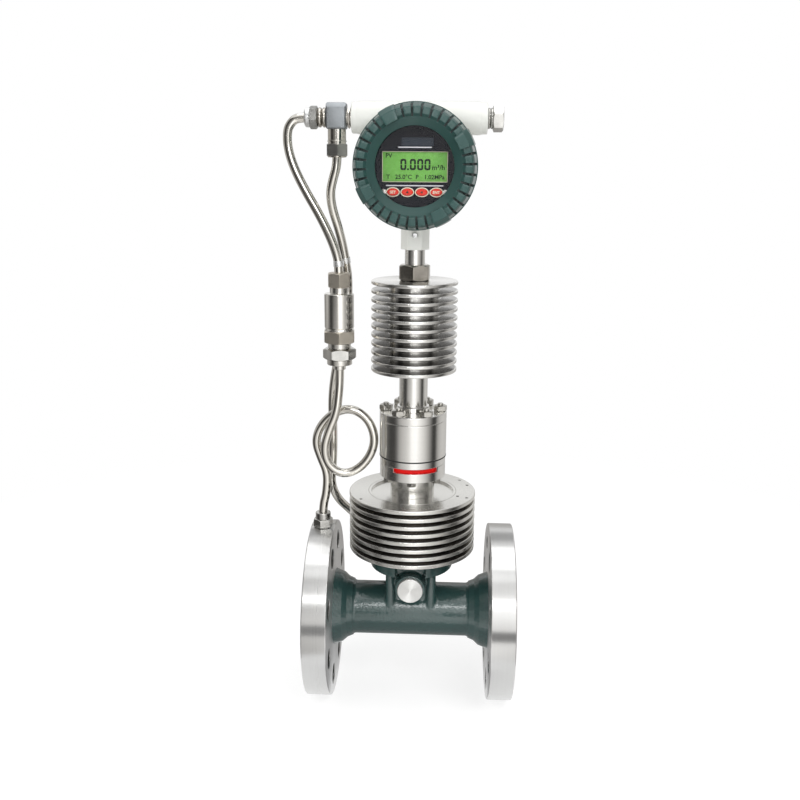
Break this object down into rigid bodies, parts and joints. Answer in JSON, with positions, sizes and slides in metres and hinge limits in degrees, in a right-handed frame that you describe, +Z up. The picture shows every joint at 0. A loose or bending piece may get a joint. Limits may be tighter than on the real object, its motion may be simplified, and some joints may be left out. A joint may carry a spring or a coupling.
{
  "type": "differential pressure flow meter",
  "caption": "Flanged in-line steam flow meter: cast pipe body, finned stainless neck, round display head, pressure transmitter on a pigtail siphon and a temperature conduit.",
  "frame": {"origin": "centre of the inlet flange's bolt circle, on the outer face of its rim", "axes": "+X along the pipe with the flow, +Z up the neck to the display head, the display faces -Y"},
  "size_m": [0.2113, 0.165, 0.5481],
  "materials": {
    "body_paint": "thick dark green paint over a sand casting, satin",
    "cover_paint": "teal stove enamel on a die casting, semi-gloss",
    "housing_paint": "off-white powder coat, fine texture",
    "flange_steel": "turned steel with fine circular tool marks",
    "sink_steel": "bright turned stainless steel",
    "neck_steel": "bright turned stainless steel",
    "fitting_steel": "milled stainless steel fittings",
    "tee_steel": "grey blasted stainless casting",
    "tube_steel": "polished bent stainless tube",
    "fastener_steel": "bright zinc plated fasteners",
    "red_gasket": "red heat-resistant gasket",
    "black_rubber": "black seal rubber",
    "window_glass": "clear toughened glass",
    "panel_black": "blue-black printed panel",
    "display_green": "backlit green liquid crystal",
    "key_red": "red moulded keys",
    "board_green": "green circuit board",
    "terminal_plastic": "black moulded terminal block",
    "terminal_brass": "plated brass screws"
  },
  "bodies": {
    "root": {"meter_body": "body_paint", "inlet_flange": "flange_steel", "outlet_flange": "flange_steel", "bluff_bar": "fitting_steel", "sensor_probe": "fitting_steel", "tap_plug": "neck_steel", "lower_heat_sink": "sink_steel", "clamp_neck": "neck_steel", "red_gasket": "red_gasket", "chamber_ring": "neck_steel", "chamber_seal": "black_rubber", "sensor_chamber": "neck_steel", "chamber_cap": "neck_steel", "cap_studs": "fastener_steel", "cap_nuts": "fastener_steel", "ring_bolts": "fastener_steel", "stem_tube": "neck_steel", "upper_heat_sink": "sink_steel", "neck_nut": "fitting_steel", "neck_tube": "fitting_steel", "head_housing": "housing_paint", "set_screw": "fastener_steel", "display_panel": "panel_black", "lcd_module": "display_green", "keypad_mat": "black_rubber", "circuit_board": "board_green", "spacers": "fastener_steel", "panel_screws": "fastener_steel", "terminal_block": "terminal_plastic", "terminal_screws": "terminal_brass", "blanking_plug": "fitting_steel", "plug_seal": "black_rubber", "tee_fitting": "tee_steel", "side_gland_nut": "fitting_steel", "lower_gland_nut": "fitting_steel", "siphon_tube": "tube_steel", "signal_conduit": "tube_steel", "sensor_conduit": "tube_steel", "pressure_transmitter": "neck_steel", "transmitter_gland": "fitting_steel", "union_nut": "fitting_steel", "siphon_tail": "fitting_steel", "siphon_fitting": "fitting_steel", "temperature_probe": "fitting_steel", "probe_nut": "fitting_steel"},
    "front_seal": {"front_cover_seal": "black_rubber"},
    "front_cover": {"front_cover": "cover_paint", "window_glass": "window_glass", "glass_ring": "black_rubber"},
    "rear_seal": {"rear_cover_seal": "black_rubber"},
    "rear_cover": {"rear_cover": "cover_paint"},
    "set_key_body": {"set_key": "key_red"},
    "up_key_body": {"up_key": "key_red"},
    "shift_key_body": {"shift_key": "key_red"},
    "enter_key_body": {"enter_key": "key_red"}
  },
  "joints": [
    {"name": "front_cover_advance", "type": "slide", "parent": "root", "child": "front_seal", "axis": [0, -1, 0], "range_m": [0, 0.0105]},
    {"name": "front_cover_turn", "type": "hinge", "parent": "front_seal", "child": "front_cover", "pos_m": [0.095, 0, 0.41186], "axis": [0, -1, 0], "range_deg": [0, 2160]},
    {"name": "rear_cover_advance", "type": "slide", "parent": "root", "child": "rear_seal", "axis": [0, 1, 0], "range_m": [0, 0.0105]},
    {"name": "rear_cover_turn", "type": "hinge", "parent": "rear_seal", "child": "rear_cover", "pos_m": [0.095, 0, 0.41186], "axis": [0, 1, 0], "range_deg": [0, 2160]},
    {"name": "set_key_press", "type": "slide", "parent": "root", "child": "set_key_body", "axis": [0, 1, 0], "range_m": [0, 0.0005], "stiffness_N_per_m": 800},
    {"name": "up_key_press", "type": "slide", "parent": "root", "child": "up_key_body", "axis": [0, 1, 0], "range_m": [0, 0.0005], "stiffness_N_per_m": 800},
    {"name": "shift_key_press", "type": "slide", "parent": "root", "child": "shift_key_body", "axis": [0, 1, 0], "range_m": [0, 0.0005], "stiffness_N_per_m": 800},
    {"name": "enter_key_press", "type": "slide", "parent": "root", "child": "enter_key_body", "axis": [0, 1, 0], "range_m": [0, 0.0005], "stiffness_N_per_m": 800}
  ],
  "couplings": [
    {"joint": "front_cover_advance", "follows": "front_cover_turn", "m_per_rad": 0.00027852},
    {"joint": "rear_cover_advance", "follows": "rear_cover_turn", "m_per_rad": 0.00027852}
  ]
}
